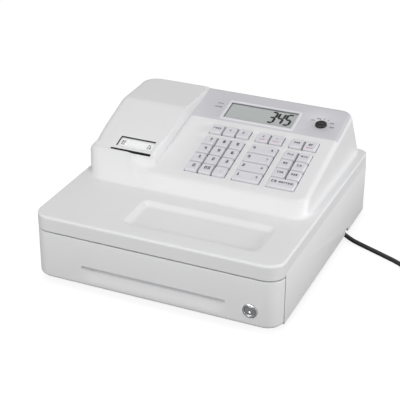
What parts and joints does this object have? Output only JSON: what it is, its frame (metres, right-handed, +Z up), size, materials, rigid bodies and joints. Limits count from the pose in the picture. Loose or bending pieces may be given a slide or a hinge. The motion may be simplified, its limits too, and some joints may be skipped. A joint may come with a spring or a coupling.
{
  "type": "ticket register",
  "caption": "Compact electronic cash register with a receipt printer, keyboard, sloping display and a locking cash drawer in its base.",
  "frame": {"origin": "centre of the footprint, on the surface that the feet stand on", "axes": "+Z up, -Y towards the operator (the drawer opens along -Y), +X to the operator's right"},
  "size_m": [0.531, 0.354, 0.1619],
  "materials": {
    "case": "fine matt moulding grain",
    "panel": "silver-lavender printed film",
    "clear": "clear moulded lens",
    "lcd": "grey-green display cell",
    "switch": "satin black",
    "knob": "satin black",
    "circuit": "green solder mask",
    "steel": "galvanised sheet",
    "mechanism": "black moulding",
    "motor": "plated can",
    "platen": "ground rubber",
    "paper": "thermal paper",
    "tray": "black moulding",
    "chrome": "polished",
    "nylon": "natural nylon",
    "rubber": "moulded rubber",
    "cord": "black sheath",
    "plug": "moulded black",
    "key": "fine matt moulding"
  },
  "bodies": {
    "cabinet": {"lower_case": "case", "top_case": "case", "chassis_plate": "steel", "display_panel": "panel", "display_lenses": "clear", "lcd_modules": "lcd", "mode_switch": "switch", "main_board": "circuit", "keyboard_board": "circuit", "printer_frame": "mechanism", "feed_motor": "motor", "drawer_rails": "steel", "feet": "rubber", "case_screws": "steel", "cord_gland": "plug", "cord_run": "cord", "cord_coil": "cord", "plug": "plug"},
    "cover": {"printer_cover": "case", "receipt_window": "clear"},
    "drawer": {"drawer_front": "case", "drawer_tub": "steel", "cash_tray": "tray"},
    "clips": {"bill_clips": "steel"},
    "lock": {"lock_barrel": "chrome"},
    "rollers": {"drawer_rollers": "nylon"},
    "latch": {"drawer_latch": "steel"},
    "rotor": {"mode_rotor": "knob"},
    "platen": {"platen_roller": "platen"},
    "roll": {"paper_roll": "paper"},
    "key_7_cap": {"key_7": "key"},
    "key_8_cap": {"key_8": "key"},
    "key_9_cap": {"key_9": "key"},
    "key_4_cap": {"key_4": "key"},
    "key_5_cap": {"key_5": "key"},
    "key_6_cap": {"key_6": "key"},
    "key_1_cap": {"key_1": "key"},
    "key_2_cap": {"key_2": "key"},
    "key_3_cap": {"key_3": "key"},
    "key_0_cap": {"key_0": "key"},
    "key_00_cap": {"key_00": "key"},
    "key_point_cap": {"key_point": "key"},
    "key_dept_4_cap": {"key_dept_4": "key"},
    "key_dept_3_cap": {"key_dept_3": "key"},
    "key_dept_2_cap": {"key_dept_2": "key"},
    "key_dept_1_cap": {"key_dept_1": "key"},
    "key_plu_cap": {"key_plu": "key"},
    "key_price_cap": {"key_price": "key"},
    "key_no_sale_cap": {"key_no_sale": "key"},
    "key_check_cap": {"key_check": "key"},
    "key_charge_cap": {"key_charge": "key"},
    "key_subtotal_cap": {"key_subtotal": "key"},
    "key_cash_cap": {"key_cash": "key"},
    "key_feed_cap": {"key_feed": "key"},
    "key_times_cap": {"key_times": "key"},
    "key_clear_cap": {"key_clear": "key"},
    "key_percent_cap": {"key_percent": "key"},
    "key_minus_cap": {"key_minus": "key"},
    "key_shift_cap": {"key_shift": "key"},
    "key_void_cap": {"key_void": "key"}
  },
  "joints": [
    {"name": "drawer_slide", "type": "slide", "parent": "cabinet", "child": "drawer", "axis": [0, -1, 0], "range_m": [0, 0.215]},
    {"name": "cover_hinge", "type": "hinge", "parent": "cabinet", "child": "cover", "pos_m": [-0.11, 0.17164, 0.11885], "axis": [-1, 0, 0], "range_deg": [0, 75]},
    {"name": "mode_turn", "type": "hinge", "parent": "cabinet", "child": "rotor", "pos_m": [0.1145, 0.11054, 0.15139], "axis": [0, -0.2351, 0.972], "range_deg": [-72, 72]},
    {"name": "lock_turn", "type": "hinge", "parent": "drawer", "child": "lock", "pos_m": [0.129, -0.175, 0.03], "axis": [0, 1, 0], "range_deg": [0, 90]},
    {"name": "clips_lift", "type": "hinge", "parent": "drawer", "child": "clips", "pos_m": [0, 0.1083, 0.0565], "axis": [-1, 0, 0], "range_deg": [0, 36], "stiffness_Nm_per_rad": 0.05},
    {"name": "latch_drop", "type": "hinge", "parent": "cabinet", "child": "latch", "pos_m": [0, 0.152, 0.067], "axis": [1, 0, 0], "range_deg": [0, 9], "stiffness_Nm_per_rad": 0.5},
    {"name": "roll_turn", "type": "hinge", "parent": "cabinet", "child": "roll", "pos_m": [-0.101, 0.096, 0.1152], "axis": [-1, 0, 0], "continuous": true},
    {"name": "platen_turn", "type": "hinge", "parent": "cabinet", "child": "platen", "pos_m": [-0.101, 0.007, 0.115], "axis": [-1, 0, 0], "continuous": true},
    {"name": "rollers_turn", "type": "hinge", "parent": "cabinet", "child": "rollers", "pos_m": [0, -0.144, 0.04845], "axis": [1, 0, 0], "continuous": true},
    {"name": "key_7_press", "type": "slide", "parent": "cabinet", "child": "key_7_cap", "axis": [0, 0.2351, -0.972], "range_m": [0, 0.003], "stiffness_N_per_m": 200},
    {"name": "key_8_press", "type": "slide", "parent": "cabinet", "child": "key_8_cap", "axis": [0, 0.2351, -0.972], "range_m": [0, 0.003], "stiffness_N_per_m": 200},
    {"name": "key_9_press", "type": "slide", "parent": "cabinet", "child": "key_9_cap", "axis": [0, 0.2351, -0.972], "range_m": [0, 0.003], "stiffness_N_per_m": 200},
    {"name": "key_4_press", "type": "slide", "parent": "cabinet", "child": "key_4_cap", "axis": [0, 0.2351, -0.972], "range_m": [0, 0.003], "stiffness_N_per_m": 200},
    {"name": "key_5_press", "type": "slide", "parent": "cabinet", "child": "key_5_cap", "axis": [0, 0.2351, -0.972], "range_m": [0, 0.003], "stiffness_N_per_m": 200},
    {"name": "key_6_press", "type": "slide", "parent": "cabinet", "child": "key_6_cap", "axis": [0, 0.2351, -0.972], "range_m": [0, 0.003], "stiffness_N_per_m": 200},
    {"name": "key_1_press", "type": "slide", "parent": "cabinet", "child": "key_1_cap", "axis": [0, 0.2351, -0.972], "range_m": [0, 0.003], "stiffness_N_per_m": 200},
    {"name": "key_2_press", "type": "slide", "parent": "cabinet", "child": "key_2_cap", "axis": [0, 0.2351, -0.972], "range_m": [0, 0.003], "stiffness_N_per_m": 200},
    {"name": "key_3_press", "type": "slide", "parent": "cabinet", "child": "key_3_cap", "axis": [0, 0.2351, -0.972], "range_m": [0, 0.003], "stiffness_N_per_m": 200},
    {"name": "key_0_press", "type": "slide", "parent": "cabinet", "child": "key_0_cap", "axis": [0, 0.2351, -0.972], "range_m": [0, 0.003], "stiffness_N_per_m": 200},
    {"name": "key_00_press", "type": "slide", "parent": "cabinet", "child": "key_00_cap", "axis": [0, 0.2351, -0.972], "range_m": [0, 0.003], "stiffness_N_per_m": 200},
    {"name": "key_point_press", "type": "slide", "parent": "cabinet", "child": "key_point_cap", "axis": [0, 0.2351, -0.972], "range_m": [0, 0.003], "stiffness_N_per_m": 200},
    {"name": "key_dept_4_press", "type": "slide", "parent": "cabinet", "child": "key_dept_4_cap", "axis": [0, 0.2351, -0.972], "range_m": [0, 0.003], "stiffness_N_per_m": 200},
    {"name": "key_dept_3_press", "type": "slide", "parent": "cabinet", "child": "key_dept_3_cap", "axis": [0, 0.2351, -0.972], "range_m": [0, 0.003], "stiffness_N_per_m": 200},
    {"name": "key_dept_2_press", "type": "slide", "parent": "cabinet", "child": "key_dept_2_cap", "axis": [0, 0.2351, -0.972], "range_m": [0, 0.003], "stiffness_N_per_m": 200},
    {"name": "key_dept_1_press", "type": "slide", "parent": "cabinet", "child": "key_dept_1_cap", "axis": [0, 0.2351, -0.972], "range_m": [0, 0.003], "stiffness_N_per_m": 200},
    {"name": "key_plu_press", "type": "slide", "parent": "cabinet", "child": "key_plu_cap", "axis": [0, 0.2351, -0.972], "range_m": [0, 0.003], "stiffness_N_per_m": 200},
    {"name": "key_price_press", "type": "slide", "parent": "cabinet", "child": "key_price_cap", "axis": [0, 0.2351, -0.972], "range_m": [0, 0.003], "stiffness_N_per_m": 200},
    {"name": "key_no_sale_press", "type": "slide", "parent": "cabinet", "child": "key_no_sale_cap", "axis": [0, 0.2351, -0.972], "range_m": [0, 0.003], "stiffness_N_per_m": 200},
    {"name": "key_check_press", "type": "slide", "parent": "cabinet", "child": "key_check_cap", "axis": [0, 0.2351, -0.972], "range_m": [0, 0.003], "stiffness_N_per_m": 200},
    {"name": "key_charge_press", "type": "slide", "parent": "cabinet", "child": "key_charge_cap", "axis": [0, 0.2351, -0.972], "range_m": [0, 0.003], "stiffness_N_per_m": 200},
    {"name": "key_subtotal_press", "type": "slide", "parent": "cabinet", "child": "key_subtotal_cap", "axis": [0, 0.2351, -0.972], "range_m": [0, 0.003], "stiffness_N_per_m": 200},
    {"name": "key_cash_press", "type": "slide", "parent": "cabinet", "child": "key_cash_cap", "axis": [0, 0.2351, -0.972], "range_m": [0, 0.003], "stiffness_N_per_m": 200},
    {"name": "key_feed_press", "type": "slide", "parent": "cabinet", "child": "key_feed_cap", "axis": [0, 0.2351, -0.972], "range_m": [0, 0.003], "stiffness_N_per_m": 200},
    {"name": "key_times_press", "type": "slide", "parent": "cabinet", "child": "key_times_cap", "axis": [0, 0.2351, -0.972], "range_m": [0, 0.003], "stiffness_N_per_m": 200},
    {"name": "key_clear_press", "type": "slide", "parent": "cabinet", "child": "key_clear_cap", "axis": [0, 0.2351, -0.972], "range_m": [0, 0.003], "stiffness_N_per_m": 200},
    {"name": "key_percent_press", "type": "slide", "parent": "cabinet", "child": "key_percent_cap", "axis": [0, 0.2351, -0.972], "range_m": [0, 0.003], "stiffness_N_per_m": 200},
    {"name": "key_minus_press", "type": "slide", "parent": "cabinet", "child": "key_minus_cap", "axis": [0, 0.2351, -0.972], "range_m": [0, 0.003], "stiffness_N_per_m": 200},
    {"name": "key_shift_press", "type": "slide", "parent": "cabinet", "child": "key_shift_cap", "axis": [0, 0.2351, -0.972], "range_m": [0, 0.003], "stiffness_N_per_m": 200},
    {"name": "key_void_press", "type": "slide", "parent": "cabinet", "child": "key_void_cap", "axis": [0, 0.2351, -0.972], "range_m": [0, 0.003], "stiffness_N_per_m": 200}
  ],
  "couplings": [
    {"joint": "platen_turn", "follows": "roll_turn", "ratio": 5.3333},
    {"joint": "rollers_turn", "follows": "drawer_slide", "rad_per_m": 166.67}
  ]
}
